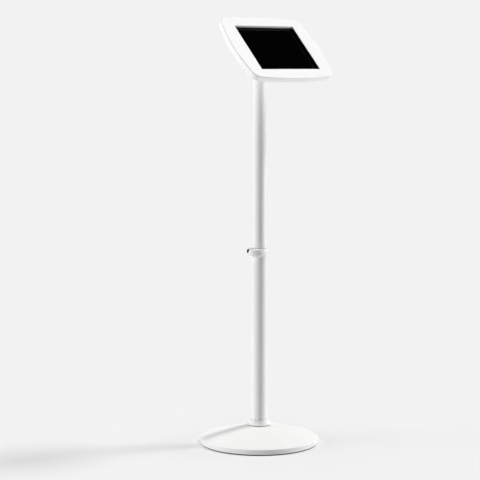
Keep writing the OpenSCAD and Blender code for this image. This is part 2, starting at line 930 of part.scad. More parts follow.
// Black front glass of the tablet
module tablet_glass() {
    color("#050506")
        on_face()
            translate([0, 0, glass_front - glass_t])
                linear_extrude(glass_t)
                    polygon(round_outline(tablet_size - [1, 1], tablet_corner - 0.5));
}

floor_pad();
weight_plate();
base_cover();
foot_flange();
foot_bolts();
trim_ring();
trim_grubs();
lower_tube();
guide_bush();
clamp_collar();
collar_grubs();
clamp_pad();
clamp_screw();
glide_bush();
glide_ring();
upper_tube();
neck_plate();
neck_screws();
backing_plate();
cable_grommet();
rear_shell();
faceplate();
window_gasket();
screw_inserts();
case_screws();
tablet_pads();
tablet_case();
tablet_glass();
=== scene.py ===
"""Looks of a tablet floor stand: fine skins, finishes, floor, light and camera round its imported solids."""
import json
import math

import bpy
import numpy as np
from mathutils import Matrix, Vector

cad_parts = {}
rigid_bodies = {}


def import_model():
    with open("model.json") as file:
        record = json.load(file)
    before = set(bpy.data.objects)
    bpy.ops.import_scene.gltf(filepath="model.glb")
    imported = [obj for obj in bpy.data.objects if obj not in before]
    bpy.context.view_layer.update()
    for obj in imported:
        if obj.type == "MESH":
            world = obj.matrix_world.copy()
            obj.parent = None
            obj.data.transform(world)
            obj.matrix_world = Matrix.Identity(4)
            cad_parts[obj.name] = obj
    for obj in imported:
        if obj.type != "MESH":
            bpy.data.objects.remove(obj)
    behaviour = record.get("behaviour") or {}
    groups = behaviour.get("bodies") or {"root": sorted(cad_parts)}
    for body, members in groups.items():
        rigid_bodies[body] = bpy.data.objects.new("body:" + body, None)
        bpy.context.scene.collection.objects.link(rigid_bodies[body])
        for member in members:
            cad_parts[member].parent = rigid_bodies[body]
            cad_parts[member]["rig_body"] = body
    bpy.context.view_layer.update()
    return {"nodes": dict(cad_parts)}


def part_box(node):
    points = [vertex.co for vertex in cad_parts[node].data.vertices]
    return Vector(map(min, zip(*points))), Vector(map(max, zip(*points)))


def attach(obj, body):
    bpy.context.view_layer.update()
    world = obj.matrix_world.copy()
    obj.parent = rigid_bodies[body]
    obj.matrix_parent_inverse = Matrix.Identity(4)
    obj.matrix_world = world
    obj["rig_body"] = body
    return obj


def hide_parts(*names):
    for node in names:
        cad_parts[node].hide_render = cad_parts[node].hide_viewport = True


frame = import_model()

MM = 0.001
TURN = 2 * math.pi
QUARTER = TURN / 4


def box_mm(node):
    """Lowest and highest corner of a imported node, in millimetres."""
    low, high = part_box(node)
    return np.array(low) / MM, np.array(high) / MM


# Points round a piece and along its curves, enough for a smooth outline in a close view
BASE_AROUND = 288
RING_AROUND = 192
TUBE_AROUND = 160
CLAMP_SCREW_AROUND = 192
CLAMP_BORE_AROUND = 72
CASE_SCREW_AROUND = 96
GRUB_AROUND = 72
BORE_AROUND = 48
CONE_STEPS = 40
RIM_STEPS = 14
ROLL_STEPS = 10
FLANK_STEPS = 25
COLLAR_EASE_STEPS = 10
BELL_STEPS = 32
BEND_STEPS = 45
THREAD_STEPS = 6
OUTER_SHOULDER_STEPS = 26
INNER_SHOULDER_STEPS = 20
SHELL_EASE_STEPS = 6
FACE_ROUND_STEPS = 8
SMALL_EASE_STEPS = 5
GASKET_STEPS = 4
SIDE_STEPS, CORNER_STEPS, TOP_STEPS = 30, 14, 30

# Edges that turn by more than this many degrees stay crisp; the cover's shallow corners need a lower limit
CRISP = 35
COVER_CRISP = 15

# How far a cutting tool runs past the surface that it opens, in millimetres
PAST = 1.0

# Base, in millimetres: the sheet cover has a rolled edge, an upright rim and a slightly swollen cone
COVER_LOW, COVER_HIGH = box_mm("base_cover")
BASE_R = COVER_HIGH[0]
PAD_TOP = COVER_LOW[2]
SEAT_Z = COVER_HIGH[2]  # flat seat of the trim ring, on top of the cone
SEAT_R = 30.0
SEAT_STEP = 1.0  # by which the seat's underside is narrower
COVER_HOLE_R = 20.4
SHEET = 1.5  # thickness of the cover
RIM_TOP = PAD_TOP + 11.0  # where the rim's upright stretch ends
RIM_ROUND = 3.0
RIM_END = math.radians(70)  # turn of the rim's round at which the cone starts
ROLL_ROUND = 2.0
ROLL_END = BASE_R - 6.0  # radius at which the rolled edge stops
COVER_CROWN = 2.0  # rise of the cone's middle over a straight line

# Column, in millimetres
LOWER_LOW, LOWER_HIGH = box_mm("lower_tube")
UPPER_LOW, UPPER_HIGH = box_mm("upper_tube")
LOWER_R = LOWER_HIGH[0]
LOWER_FOOT = LOWER_LOW[2]
LOWER_TOP = LOWER_HIGH[2]
LOWER_WALL = 2.0
UPPER_R = UPPER_HIGH[0]
UPPER_FOOT = UPPER_LOW[2]
UPPER_WALL = 1.5
TUBE_EASE = 0.4
NECK_Z = UPPER_FOOT + 629.0  # height at which the bend starts
NECK_RADIUS = 60.0
BEND_LEAD = np.array([120.0, 40.0])  # two more rings, this far below the bend
STUB_LONG = 31.2  # straight tube between the bend and the neck plate
LEAN = math.radians(46.4)  # from upright to the tube's direction after the bend
SLIP = 0.1  # room between a tube and a ring round it

# Trim ring, in millimetres: a hollow flank between a shadow gap at the base and a groove at the tube
TRIM_HIGH = box_mm("trim_ring")[1]
TRIM_LIP = TRIM_HIGH[2]
TRIM_FOOT_R = TRIM_HIGH[0]
TRIM_TOP_R = 23.75
TRIM_HOLLOW = 1.3  # power that hollows the flank
TRIM_GAP = 2.2
TRIM_GAP_DEEP = 8.0
TRIM_EDGE_H = 2.6  # height over the base at which the flank starts
TRIM_EDGE_ROUND = 0.3
TRIM_LIP_H = 1.3  # height of the lip over the flank
TRIM_LIP_IN = 0.1  # by which the lip leans in
TRIM_LIP_ROUND = 1.1
TRIM_GROOVE = 1.6
TRIM_GROOVE_DEEP = 7.0
TRIM_GROOVE_ROUND = 0.2

# Height clamp, in millimetres: a bell-shaped collar that swells to one side, where the screw and its pad are
COLLAR_Z = box_mm("clamp_collar")[0][2]
COLLAR_TOP = LOWER_TOP + 6.5
COLLAR_FOOT_R = 22.7  # away from the screw
COLLAR_EASE = 2.0
COLLAR_NOSE_R = 20.7  # top of the bell
BUSH_NOSE_R = 18.65  # hole for the nose of the guide bush
LEDGE_Z = LOWER_TOP + 2.5  # ledge over the guide bush
BOSS_REACH = 33.0  # foot of the bell at the screw
BOSS_TURN = math.radians(162)
BOSS_Z = COLLAR_TOP - 6.0  # height of the screw's axis
BELL_FULL = 2.0  # fullness of the bell away from the screw
EAR_FULL = 2.5  # what is added to it at the screw
PAD_BORE_R = 4.05
PAD_HOLE_R = 4.3  # in the lower tube
PAD_END = LOWER_R + 1.0  # where the pad ends and the screw's tip is
PAD_BORE_END = PAD_END + 1.1
SCREW_SLIP = 0.05  # room round or behind a screw
SCREW_R = 3.0
SCREW_HEAD_R = 5.0
SCREW_HEAD_H = 6.0
SCREW_KEY = 5.0
SCREW_KNURLS = 32
SCREW_PITCH = 1.0
HEAD_SUNK = 0.3  # depth of the head's top inside the collar's reach
HEAD_SEAT = BOSS_REACH - SCREW_HEAD_H - HEAD_SUNK
POCKET_R = 5.5
POCKET_FLOOR = HEAD_SEAT - 0.2

# Grub screws of the trim ring and the collar, in millimetres
GRUB_R = 2.45
GRUB_HOLE_R = 2.5
GRUB_TOP = 1.6  # plain stretch with the socket
GRUB_KEY = 2.5
GRUB_PITCH = 0.8
TRIM_GRUB_TURNS = (math.radians(60), math.radians(120))
TRIM_GRUB_Z = SEAT_Z + 5.5
TRIM_GRUB_LONG = 4.5
COLLAR_GRUB_TURNS = (BOSS_TURN + math.radians(145), BOSS_TURN + math.radians(215))
COLLAR_GRUB_Z = COLLAR_Z + 6.0
COLLAR_GRUB_LONG = 2.4

# What every socket screw shares, in millimetres or as a share of the size that a comment names
TIP_FLAT = 0.5  # of the shank's radius
TIP_EASE = 0.4  # by which the tip's edge is cut back
THREAD_DEEP = 0.3  # of the pitch
THREAD_STOP = 0.2  # from the thread's end to the seat
HEAD_FOOT_EASE = 0.3
HEAD_EASE = 0.6
KNURL_DEEP = 0.12
SOCKET_MOUTH = 0.15  # by which the mouth clears the hexagon's corners
SOCKET_EASE = 0.25
SOCKET_DEEP = 0.55  # of the head's height
GRUB_SOCKET_DEEP = 0.5  # of the grub's plain top
SOCKET_POINT = 0.4  # of the hexagon
SOCKET_POINT_DEEP = 0.3

# Case, in millimetres from the middle of the faceplate's front: across, up the face, out of it
HALF_W = box_mm("faceplate")[1][0]
HALF_H = 105.25
SIDE_BOW_R = 335.0
TOP_BOW_R = 1100.0
CORNER_R = 19.5
CORNER_GROWTH = 0.25  # of an inset, by which the corner's radius grows
WINDOW_W = 198.0
WINDOW_H = 148.5
WINDOW_CORNER = 1.0
WINDOW_EASE = 0.4
FACE_T = 2.0
FACE_ROUND = 0.8
SEAM = 0.8  # gap between the faceplate and the shell
SEAM_EASE = 0.5
WALL_DEPTH = 10.0  # of the shell's drafted wall
SHELL_DEPTH = 28.0
SHOULDER = 46.0  # width of the round between the wall and the back
SHELL_T = 3.0
SHELL_EASE = 0.9
DRAFT = 0.6  # by which the wall narrows from rim to shoulder
SHELL_FRONT = -(FACE_T + SEAM)
SHELL_BACK = SHELL_FRONT - SHELL_DEPTH
SHELL_FLOOR = SHELL_BACK + SHELL_T
LIP_IN = SHELL_T + 0.3  # from the outline to the faceplate's lip
LIP_T = 2.0
LIP_H = 4.0
GASKET_T = 6.0
GASKET_W = 7.0
GASKET_BACK = 8.0  # by which the gasket's two sides stand back from the window
GASKET_CORNER = 8.6
FOAM_EASE = 0.5
FOAM_CUT = 1.6  # by which its inner face is cut back at the glass
GLASS_FRONT = -(FACE_T + GASKET_T)
POST_R = 5.0
POST_MEET = GLASS_FRONT - 2.5  # where the posts of shell and faceplate meet
POST_SUNK = 0.5  # by which a post reaches into the faceplate
CASE_SCREW_AT = [(sx * 128.0, sy * 45.0) for sx in (-1, 1) for sy in (-1, 1)]
CASE_SCREW_R = 1.95
CASE_SCREW_KEY = 2.4
CASE_SCREW_KNURLS = 24
CASE_SCREW_PITCH = 0.7
CASE_HEAD_R = 3.6
CASE_HEAD_H = 2.8
CASE_HEAD_Z = SHELL_FRONT - WALL_DEPTH - 2.0  # seat of the screws' heads
INSERT_R = 2.9
INSERT_END = POST_MEET + 6.0
CASE_SCREW_END = INSERT_END - 1.0
PASS = 0.3  # room round a screw in the shell

# Neck plate on the back of the case, in millimetres
PLATE_R = 44.0
PLATE_T = 5.0
PLATE_ROUND = 1.2
PLATE_EASE = 0.3
PLATE_HOLE_R = 12.0
PLATE_BACK = SHELL_BACK - PLATE_T
HUB_R = UPPER_R + 5.0
HUB_H = 4.0
HUB_SLOPE = 2.5  # by which the hub is narrower at its end
HUB_ROUND = 0.8
HUB_FILLET = 2.0
STUB_FILLET = 0.6
STUB_EASE = 0.2
NECK_SCREW_R = 2.5
NECK_SCREW_SKIN = 1.0  # left of the plate behind a screw hole
NECK_SCREW_FAR = 33.0  # from the middle of the plate
NECK_SCREW_AT = [(NECK_SCREW_FAR * math.cos(a), NECK_SCREW_FAR * math.sin(a))
                 for a in (np.arange(4) + 0.5) * QUARTER]
CABLE_HOLE_R = 14.0

# The frame's upright, the face's own directions, and the middle of its front
UP = np.array([0.0, 0.0, 1.0])
ACROSS_FACE = np.array([1.0, 0.0, 0.0])
UP_FACE = np.array([0.0, math.cos(LEAN), math.sin(LEAN)])
OUT_OF_FACE = np.array([0.0, -math.sin(LEAN), math.cos(LEAN)])
BEND_END = np.array([0.0, -NECK_RADIUS * (1 - math.cos(LEAN)), NECK_Z + NECK_RADIUS * math.sin(LEAN)])
FACE_CENTRE = BEND_END + (STUB_LONG - PLATE_BACK) * OUT_OF_FACE


# Shapes: grids of points, rows along a profile and columns round it

def path_of(corners, closed=True, steps=5):
    """Straight lines through corners (a, b, radius).
    Each corner with a radius becomes an arc tangent to its two lines."""
    points = np.array([corner[:2] for corner in corners], float)
    out = []
    for k, (*_, radius) in enumerate(corners):
        here = points[k]
        at_end = not closed and k in (0, len(corners) - 1)
        if radius == 0 or at_end:
            out.append(here[None])
            continue
        to_last = points[k - 1] - here
        to_next = points[(k + 1) % len(points)] - here
        to_last /= np.linalg.norm(to_last)
        to_next /= np.linalg.norm(to_next)
        half = math.acos(np.clip(to_last @ to_next, -1, 1)) / 2
        middle = (to_last + to_next) / np.linalg.norm(to_last + to_next)
        centre = here + middle * radius / math.sin(half)
        first = here + to_last * radius / math.tan(half) - centre
        last = here + to_next * radius / math.tan(half) - centre
        start = math.atan2(first[1], first[0])
        sweep = (math.atan2(last[1], last[0]) - start + math.pi) % TURN - math.pi
        out.append(arc(centre, radius, start, start + sweep, steps + 1))
    return np.concatenate(out)


def arc(centre, radius, start, end, count):
    """Points on a circle from one angle to another, both ends included."""
    angle = np.linspace(start, end, count)
    return np.stack([centre[0] + radius * np.cos(angle), centre[1] + radius * np.sin(angle)], 1)


def eased(radius, count):
    """Steps round a quarter circle at an edge: how far each lies in from the side and down from the top."""
    angle = np.linspace(0, QUARTER, count)
    return list(zip(radius * (1 - np.cos(angle)), radius * (1 - np.sin(angle))))


def turns_round(count):
    """Angles of evenly spaced points round an axis."""
    return np.arange(count) / count * TURN


def turned(radius, height, turn):
    """Points x = r cos t, y = r sin t, z = h, from radii and heights in rows and turns in columns."""
    r, h, t = np.broadcast_arrays(radius, height, turn)
    return np.stack([r * np.cos(t), r * np.sin(t), h], 2)


def spun(profile, around):
    """A profile of (radius, height) turned about the Z axis."""
    profile = np.asarray(profile, float)
    return turned(profile[:, :1], profile[:, 1:], turns_round(around))


def rod(radius, low, high, around=BORE_AROUND):
    """A plain round rod from one height to another, with its two end faces."""
    return spun([(radius, low), (radius, high)], around)


def placed(grid, origin, across, up, out):
    """Carries a grid's own three directions onto three others, from an origin."""
    return origin + grid[..., :1] * across + grid[..., 1:2] * up + grid[..., 2:] * out


def outward(grid, turn, height):
    """Carries a grid's Z axis onto the line that leaves the column's axis at a height and a turn."""
    out = np.array([math.cos(turn), math.sin(turn), 0.0])
    return placed(grid, height * UP, np.cross(UP, out), UP, out)


def on_face(grid):
    """Carries (across, up, out) on the case's face into the frame of the stand."""
    return placed(grid, FACE_CENTRE, ACROSS_FACE, UP_FACE, OUT_OF_FACE)


def raised(grid, height):
    """Moves a grid along its own Z axis."""
    return grid + height * UP


def flipped(grid, height):
    """Points a screw's head down, with its seat at a height."""
    return raised(grid * [1.0, -1.0, -1.0], height)


def skin(grid, ring=False):
    """Points, and blocks of faces: quads between neighbouring rows, with columns closed round.
    A ring joins its last row to its first. Any other skin is closed by a fan to the middle
    of each end row."""
    rows, around = grid.shape[:2]
    points = grid.reshape(-1, 3)
    row = np.arange(rows if ring else rows - 1)[:, None] * around
    next_row = (row + around) % (rows * around)
    near = np.arange(around)
    far = (near + 1) % around
    blocks = [np.stack([row + near, row + far, next_row + far, next_row + near], 2).reshape(-1, 4)]
    if not ring:
        points = np.concatenate([points, grid[:1].mean(1), grid[-1:].mean(1)])
        first_middle = np.full(around, rows * around)
        end = (rows - 1) * around
        blocks.append(np.stack([far, near, first_middle], 1))
        blocks.append(np.stack([end + near, end + far, first_middle + 1], 1))
    return points, blocks


def piece_of(name, *skins):
    """A new object in the scene, in metres, from closed skins in millimetres."""
    points, faces, start = [], [], 0
    for own_points, blocks in skins:
        points.append(own_points)
        for block in blocks:
            faces += (block + start).tolist()
        start += len(own_points)
    mesh = bpy.data.meshes.new(name)
    mesh.from_pydata((np.concatenate(points) * MM).tolist(), [], faces)
    mesh.update()
    piece = bpy.data.objects.new(name, mesh)
    bpy.context.scene.collection.objects.link(piece)
    return piece


def joined(piece, operation, tool):
    """Cuts a tool out of a piece, melts it in or keeps what they share, and takes the tool away."""
    change = piece.modifiers.new("change", "BOOLEAN")
    change.operation = operation
    change.solver = "EXACT"
    change.object = tool
    view = bpy.context.evaluated_depsgraph_get()
    changed = bpy.data.meshes.new_from_object(piece.evaluated_get(view))
    piece.modifiers.clear()
    old = piece.data
    piece.data = changed
    changed.name = piece.name
    bpy.data.meshes.remove(old)
    bpy.data.meshes.remove(tool.data)


def bored(piece, radius, start, end, turns, height, around=BORE_AROUND):
    """Drills a piece from one distance off the column's axis to another, at some turns and one height."""
    bore = rod(radius, start, end, around)
    joined(piece, "DIFFERENCE", piece_of("tool", *[skin(outward(bore, turn, height)) for turn in turns]))


def finished(piece, node, slot, crisp=CRISP):
    """Smooths a piece up to its crisp edges, gives it its slot's finish, and lets it stand
    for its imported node."""
    piece.data.shade_smooth()
    piece.data.set_sharp_from_angle(angle=math.radians(crisp))
    weigh = piece.modifiers.new("even", "WEIGHTED_NORMAL")
    weigh.keep_sharp = True
    piece.data.materials.clear()
    piece.data.materials.append(FINISH[slot])
    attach(piece, frame["nodes"][node]["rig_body"])
    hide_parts(node)


# Finishes

# A colour Mix node's sockets go by number, because several share a name
MIX_FACTOR, MIX_FROM, MIX_TO, MIX_RESULT = 0, 6, 7, 2

# Nearly all of a noise's values lie between these two
NOISE_LOW, NOISE_HIGH = 0.3, 0.7


def linear(hex_colour):
    """An sRGB hex value as linear red, green, blue and full alpha."""
    value = [int(hex_colour[i:i + 2], 16) / 255 for i in (1, 3, 5)]
    return [v / 12.92 if v <= 0.04045 else ((v + 0.055) / 1.055) ** 2.4 for v in value] + [1.0]


def add(tree, kind, inputs=None, **settings):
    """Adds a node, sets its own options, and fills each named input with a value or a link."""
    made = tree.nodes.new(kind)
    for name, value in settings.items():
        setattr(made, name, value)
    for name, value in (inputs or {}).items():
        if isinstance(value, bpy.types.NodeSocket):
            tree.links.new(value, made.inputs[name])
        else:
            made.inputs[name].default_value = value
    return made


def per_metre(size_mm):
    """Scale of a pattern whose marks are that many millimetres across."""
    return 1 / (size_mm * MM)


def finish_of(name, pale, deep, patch_mm, rough, grain_mm, grain_deep_mm, **sockets):
    """One shader whose colour drifts between two values in soft patches, and whose roughness and
    height follow a fine grain: the marks of moulding, coating or rolling that the material shows."""
    material = bpy.data.materials.new(name)
    material.use_nodes = True
    tree = material.node_tree
    tree.nodes.clear()
    place = add(tree, "ShaderNodeTexCoord").outputs["Object"]
    patch = add(tree, "ShaderNodeTexNoise", {"Vector": place, "Scale": per_metre(patch_mm), "Detail": 3.0})
    grain = add(tree, "ShaderNodeTexNoise", {"Vector": place, "Scale": per_metre(grain_mm), "Detail": 2.0})
    colour = add(tree, "ShaderNodeMix",
                 {MIX_FACTOR: patch.outputs["Fac"], MIX_FROM: linear(pale), MIX_TO: linear(deep)},
                 data_type="RGBA")
    sheen = add(tree, "ShaderNodeMapRange",
                {"Value": grain.outputs["Fac"], "From Min": NOISE_LOW, "From Max": NOISE_HIGH,
                 "To Min": rough[0], "To Max": rough[1]})
    height = add(tree, "ShaderNodeBump",
                 {"Height": grain.outputs["Fac"], "Strength": 1.0, "Distance": grain_deep_mm * MM})
    shader = add(tree, "ShaderNodeBsdfPrincipled",
                 {"Base Color": colour.outputs[MIX_RESULT], "Roughness": sheen.outputs["Result"],
                  "Normal": height.outputs["Normal"], **sockets})
    add(tree, "ShaderNodeOutputMaterial", {"Surface": shader.outputs["BSDF"]})
    return material


# The finish of each of the record's material slots
FINISH = {}
# Powder coat baked on steel tube: satin white with a faint orange peel about two millimetres across
FINISH["white_steel"] = finish_of(
    "powder_coated_steel", "#eeeeed", "#ebebea", patch_mm=70, rough=(0.42, 0.52),
    grain_mm=2.2, grain_deep_mm=0.03, IOR=1.5, **{"Specular IOR Level": 0.2})
# Moulded ABS: satin white, with a fine spark-eroded texture that is drawn coarse enough to show
FINISH["case_white"] = finish_of(
    "moulded_abs", "#f6f6f5", "#f3f3f2", patch_mm=90, rough=(0.42, 0.52),
    grain_mm=0.9, grain_deep_mm=0.02, IOR=1.5)
# Cast acrylic sheet: glossy white, nearly flat, with a polish that shows faint waves
FINISH["face_white"] = finish_of(
    "cast_acrylic", "#f8f8f7", "#f6f6f5", patch_mm=120, rough=(0.08, 0.12),
    grain_mm=14, grain_deep_mm=0.01, IOR=1.49, **{"Specular IOR Level": 0.2})
# Moulded rubber: dull black with a pitted grain and greyer worn patches
FINISH["black_rubber"] = finish_of(
    "moulded_rubber", "#161617", "#222223", patch_mm=18, rough=(0.68, 0.85),
    grain_mm=0.8, grain_deep_mm=0.06, IOR=1.52)
# Zinc-plated steel: cool grey with a soft spangle a few millimetres across
FINISH["plain_steel"] = finish_of(
    "zinc_plated_steel", "#b9bcbf", "#9ea2a6", patch_mm=6, rough=(0.28, 0.45),
    grain_mm=1.4, grain_deep_mm=0.02, Metallic=1.0)
# Black oxide on screw steel: oily near-black with a dull sheen
FINISH["black_screw"] = finish_of(
    "black_oxide_steel", "#0d0d0e", "#161617", patch_mm=3, rough=(0.42, 0.55),
    grain_mm=0.5, grain_deep_mm=0.01, Metallic=1.0)
# Turned nylon: waxy pale grey, with a faint grain left by the tool
FINISH["grey_nylon"] = finish_of(
    "grey_nylon", "#d0d1d2", "#c4c5c6", patch_mm=9, rough=(0.45, 0.6),
    grain_mm=0.7, grain_deep_mm=0.02, IOR=1.53)
# Turned nylon: waxy black, with the same grain
FINISH["dark_nylon"] = finish_of(
    "turned_nylon", "#1c1c1e", "#27272a", patch_mm=9, rough=(0.45, 0.6),
    grain_mm=0.7, grain_deep_mm=0.02, IOR=1.53)
# Turned brass: warm yellow, duller in patches, with a fine grain left by the tool
FINISH["brass"] = finish_of(
    "turned_brass", "#c9a860", "#b08f4a", patch_mm=4, rough=(0.22, 0.36),
    grain_mm=0.4, grain_deep_mm=0.01, Metallic=1.0)
# Closed-cell foam tape: pale grey, dull, with small cells
FINISH["pale_foam"] = finish_of(
    "pale_foam_tape", "#dcdcdb", "#d0d0cf", patch_mm=2.5, rough=(0.8, 0.95),
    grain_mm=0.6, grain_deep_mm=0.08, IOR=1.45)
# Closed-cell foam block: dark grey, dull, with small cells
FINISH["dark_foam"] = finish_of(
    "dark_foam_block", "#4a4c4f", "#3a3c3f", patch_mm=2.5, rough=(0.82, 0.95),
    grain_mm=0.7, grain_deep_mm=0.1, IOR=1.45)
# Blasted and anodised aluminium: even silver, its fine blasted grain drawn coarse enough to show
FINISH["tablet_metal"] = finish_of(
    "anodised_aluminium", "#c6c8cb", "#bcbfc2", patch_mm=20, rough=(0.38, 0.48),
    grain_mm=0.3, grain_deep_mm=0.005, Metallic=1.0)
# Black-backed cover glass: polished, with faint smears that dull the gloss
FINISH["black_glass"] = finish_of(
    "black_backed_glass", "#020202", "#030303", patch_mm=60, rough=(0.03, 0.07),
    grain_mm=45, grain_deep_mm=0.0, **{"Specular IOR Level": 0.1})


# Base and column

def base_cover():
    """Spun sheet: rolled edge, upright rim, cone z = line + 4 crown t (1 - t), flat seat and hole,
    then back inside it."""
    rim = (BASE_R - RIM_ROUND, RIM_TOP)
    roll = (BASE_R - ROLL_ROUND, PAD_TOP + ROLL_ROUND)
    lower = np.concatenate([[(ROLL_END, PAD_TOP)], arc(roll, ROLL_ROUND, -QUARTER, 0, ROLL_STEPS)])
    upper = arc(rim, RIM_ROUND, 0, RIM_END, RIM_STEPS)
    edge = upper[-1]
    t = np.linspace(0, 1, CONE_STEPS + 1)[1:]
    cone = np.stack([edge[0] + (SEAT_R - edge[0]) * t,
                     edge[1] + (SEAT_Z - edge[1]) * t + 4 * COVER_CROWN * t * (1 - t)], 1)
    under = SEAT_Z - SHEET
    seat = [(COVER_HOLE_R, SEAT_Z), (COVER_HOLE_R, under), (SEAT_R - SEAT_STEP, under)]
    fall = (SEAT_Z - edge[1]) / (edge[0] - SEAT_R)
    # The inner cone stops two steps short of the seat's underside and runs straight to it
    inner_cone = (cone[:-2] - [0, SHEET * math.hypot(1, fall)])[::-1]
    inner_rim = np.concatenate([arc(rim, RIM_ROUND - SHEET, RIM_END, 0, RIM_STEPS),
                                arc(roll, ROLL_ROUND - SHEET, 0, -QUARTER, ROLL_STEPS),
                                [(ROLL_END, PAD_TOP + SHEET)]])
    profile = np.concatenate([lower, upper, cone, seat, inner_cone, inner_rim])
    cover = piece_of("base_cover_skin", skin(spun(profile, BASE_AROUND), ring=True))
    finished(cover, "base_cover", "white_steel", COVER_CRISP)


def trim_ring():
    """Spun flank r = top + (foot - top)(1 - t)^hollow with an open lip and a shadow gap,
    drilled for its two grub screws."""
    t = np.linspace(0, 1, FLANK_STEPS)
    flank = np.stack([TRIM_TOP_R + (TRIM_FOOT_R - TRIM_TOP_R) * (1 - t) ** TRIM_HOLLOW,
                      SEAT_Z + TRIM_EDGE_H + (TRIM_LIP - SEAT_Z - TRIM_EDGE_H - TRIM_LIP_H) * t], 1)
    bore = LOWER_R + SLIP
    gap_r, gap_z = TRIM_FOOT_R - TRIM_GAP_DEEP, SEAT_Z + TRIM_GAP
    foot = path_of([(bore, SEAT_Z, 0), (gap_r, SEAT_Z, 0), (gap_r, gap_z, 0),
                    (TRIM_FOOT_R, gap_z, TRIM_EDGE_ROUND), (*flank[0], 0)], closed=False)
    groove_r, groove_z = LOWER_R + TRIM_GROOVE, TRIM_LIP - TRIM_GROOVE_DEEP
    top = path_of([(*flank[-1], 0), (TRIM_TOP_R - TRIM_LIP_IN, TRIM_LIP, TRIM_LIP_ROUND),
                   (groove_r, TRIM_LIP, TRIM_GROOVE_ROUND), (groove_r, groove_z, 0), (bore, groove_z, 0)],
                  closed=False)
    profile = np.concatenate([foot, flank[1:-1], top])
    ring = piece_of("trim_ring_skin", skin(spun(profile, RING_AROUND), ring=True))
    bored(ring, GRUB_HOLE_R, LOWER_R - PAST, TRIM_FOOT_R + PAST, TRIM_GRUB_TURNS, TRIM_GRUB_Z)
    finished(ring, "trim_ring", "white_steel")


def lower_tube():
    """Spun wall with eased ends, drilled for the clamp pad."""
    bore = LOWER_R - LOWER_WALL
    wall = path_of([(bore, LOWER_FOOT, TUBE_EASE), (LOWER_R, LOWER_FOOT, TUBE_EASE),
                    (LOWER_R, LOWER_TOP, TUBE_EASE), (bore, LOWER_TOP, TUBE_EASE)])
    tube = piece_of("lower_tube_skin", skin(spun(wall, TUBE_AROUND), ring=True))
    bored(tube, PAD_HOLE_R, bore - PAST, LOWER_R + PAST, [BOSS_TURN], BOSS_Z)
    finished(tube, "lower_tube", "white_steel")


def clamp_collar():
    """Bell r = nose + (foot - nose)(1 - t^n)^(1 / n), whose foot and fullness n grow on the clamp screw's
    side with ((1 + cos a) / 2)^2 at a turn a from it; then bored for pad, screw and grubs."""
    turn = turns_round(RING_AROUND)
    swell = ((1 + np.cos(turn - BOSS_TURN)) / 2) ** 2
    foot_r = COLLAR_FOOT_R + (BOSS_REACH - COLLAR_FOOT_R) * swell
    full = BELL_FULL + EAR_FULL * swell
    ease = np.array(eased(COLLAR_EASE, COLLAR_EASE_STEPS))
    bell_z = COLLAR_Z + COLLAR_EASE
    t = np.sin(np.linspace(0, QUARTER, BELL_STEPS + 1))[1:, None]
    bell = COLLAR_NOSE_R + (foot_r - COLLAR_NOSE_R) * (1 - t ** full) ** (1 / full)
    bore = np.full((1, RING_AROUND), LOWER_R + SLIP)
    nose = np.full((2, RING_AROUND), BUSH_NOSE_R)
    r = np.concatenate([bore, foot_r - ease[:, 1:], bell, nose, bore])
    z = np.concatenate([[[COLLAR_Z]], COLLAR_Z + ease[:, :1], bell_z + (COLLAR_TOP - bell_z) * t,
                        [[COLLAR_TOP], [LEDGE_Z], [LEDGE_Z]]])
    collar = piece_of("clamp_collar_skin", skin(turned(r, z, turn), ring=True))
    bores = [(PAD_BORE_R, BUSH_NOSE_R - PAST, PAD_BORE_END), (SCREW_R + SCREW_SLIP, LOWER_R, HEAD_SEAT),
             (POCKET_R, POCKET_FLOOR, BOSS_REACH + PAST)]
    for radius, start, end in bores:
        bored(collar, radius, start, end, [BOSS_TURN], BOSS_Z, CLAMP_BORE_AROUND)
    bored(collar, GRUB_HOLE_R, LOWER_R - PAST, COLLAR_FOOT_R + PAST, COLLAR_GRUB_TURNS, COLLAR_GRUB_Z)
    finished(collar, "clamp_collar", "white_steel")


def upper_tube():
    """Rings of a round tube carried straight up, then along an arc that leans forward.
    The inside comes back the same way."""
    lean = np.linspace(0, LEAN, BEND_STEPS)
    straight = np.array([UPPER_FOOT, UPPER_FOOT + TUBE_EASE, *(NECK_Z - BEND_LEAD)])
    along = np.concatenate([np.zeros(len(straight)), lean])[:, None]
    y = -NECK_RADIUS * (1 - np.cos(along))
    z = np.concatenate([straight, NECK_Z + NECK_RADIUS * np.sin(lean)])[:, None]
    t = turns_round(TUBE_AROUND)

    def wall(radius):
        """Rings square to the path: x = r cos t, and r sin t along the path's own depth direction."""
        depth = radius * np.sin(t)
        return np.stack([radius * np.cos(t), y + depth * np.cos(along), z + depth * np.sin(along)], 2)

    outer_r = np.full(along.shape, UPPER_R)
    outer_r[0] -= TUBE_EASE
    inner_r = np.full(along.shape, UPPER_R - UPPER_WALL)
    walls = np.concatenate([wall(outer_r), wall(inner_r)[::-1]])
    finished(piece_of("upper_tube_skin", skin(walls, ring=True)), "upper_tube", "white_steel")


# Screws

